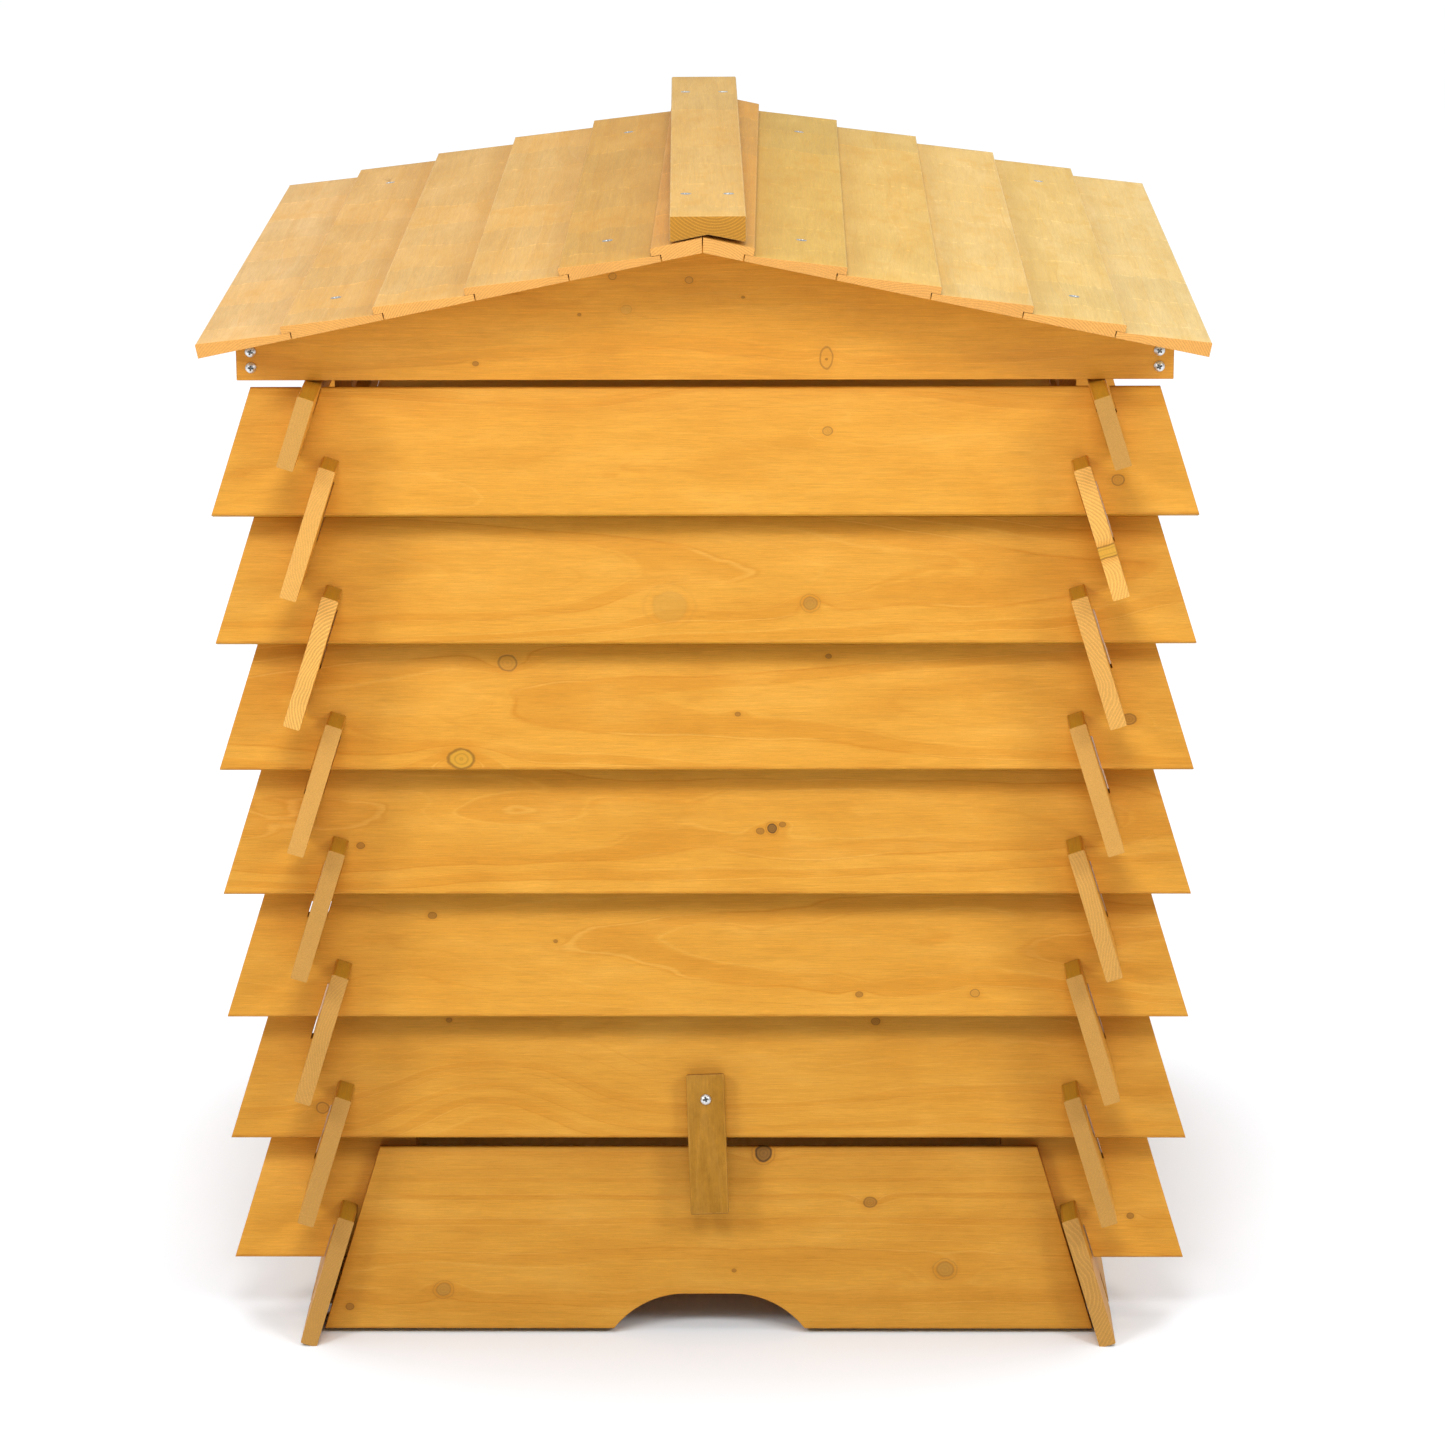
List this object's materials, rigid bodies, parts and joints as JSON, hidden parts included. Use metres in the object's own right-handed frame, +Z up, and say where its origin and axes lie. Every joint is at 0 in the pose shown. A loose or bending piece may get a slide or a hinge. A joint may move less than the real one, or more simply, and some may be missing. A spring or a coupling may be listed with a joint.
{
  "type": "beehive composter",
  "caption": "Square garden bin of slanted interlocking boards in the shape of a beehive, with a lift-off pitched roof and a hatch held by a wooden turn button.",
  "frame": {"origin": "centre of the footprint, on the ground", "axes": "+Z up, -Y is the front with the hatch, +X to the right seen from the front"},
  "size_m": [0.7456, 0.74, 0.8798],
  "materials": {
    "stained_board": "planed softwood with a honey stain, satin",
    "roof_board": "planed softwood with a pale honey stain, satin",
    "lid_frame": "planed softwood with a honey stain, satin",
    "toggle_wood": "planed softwood, darker stain, slightly handled",
    "zinc_screw": "zinc plated"
  },
  "bodies": {
    "bin": {"front_board_1": "stained_board", "front_board_2": "stained_board", "front_board_3": "stained_board", "front_board_4": "stained_board", "front_board_5": "stained_board", "front_board_6": "stained_board", "front_stub_left": "stained_board", "front_stub_right": "stained_board", "back_board_1": "stained_board", "back_board_2": "stained_board", "back_board_3": "stained_board", "back_board_4": "stained_board", "back_board_5": "stained_board", "back_board_6": "stained_board", "back_board_7": "stained_board", "back_board_foot": "stained_board", "left_board_1_ripped": "stained_board", "left_board_2": "stained_board", "left_board_3": "stained_board", "left_board_4": "stained_board", "left_board_5": "stained_board", "left_board_6": "stained_board", "left_board_7": "stained_board", "left_board_8": "stained_board", "right_board_1_ripped": "stained_board", "right_board_2": "stained_board", "right_board_3": "stained_board", "right_board_4": "stained_board", "right_board_5": "stained_board", "right_board_6": "stained_board", "right_board_7": "stained_board", "right_board_8": "stained_board", "turn_button_screw": "zinc_screw"},
    "lid": {"roof_left_board_1": "roof_board", "roof_left_board_2": "roof_board", "roof_left_board_3": "roof_board", "roof_left_board_4": "roof_board", "roof_left_board_5": "roof_board", "roof_left_board_6": "roof_board", "roof_right_board_1": "roof_board", "roof_right_board_2": "roof_board", "roof_right_board_3": "roof_board", "roof_right_board_4": "roof_board", "roof_right_board_5": "roof_board", "roof_right_board_6": "roof_board", "ridge_cap": "roof_board", "roof_left_rail": "lid_frame", "roof_right_rail": "lid_frame", "front_gable": "lid_frame", "back_gable": "lid_frame", "front_rafters": "lid_frame", "back_rafters": "lid_frame", "locating_battens": "lid_frame", "gable_screws": "zinc_screw", "roof_screws": "zinc_screw", "ridge_cap_screws": "zinc_screw"},
    "turn_button": {"turn_button": "toggle_wood"},
    "hatch": {"hatch_panel": "stained_board"}
  },
  "joints": [
    {"name": "lid_lift", "type": "slide", "parent": "bin", "child": "lid", "axis": [0, 0, 1], "range_m": [0, 0.25]},
    {"name": "turn_button_pivot", "type": "hinge", "parent": "bin", "child": "turn_button", "pos_m": [-0.0015, -0.30627, 0.17991], "axis": [0, -0.9537, 0.3007], "continuous": true},
    {"name": "hatch_tilt", "type": "hinge", "parent": "bin", "child": "hatch", "pos_m": [0, -0.33168, 0.0003], "axis": [1, 0, 0], "range_deg": [0, 6]}
  ]
}
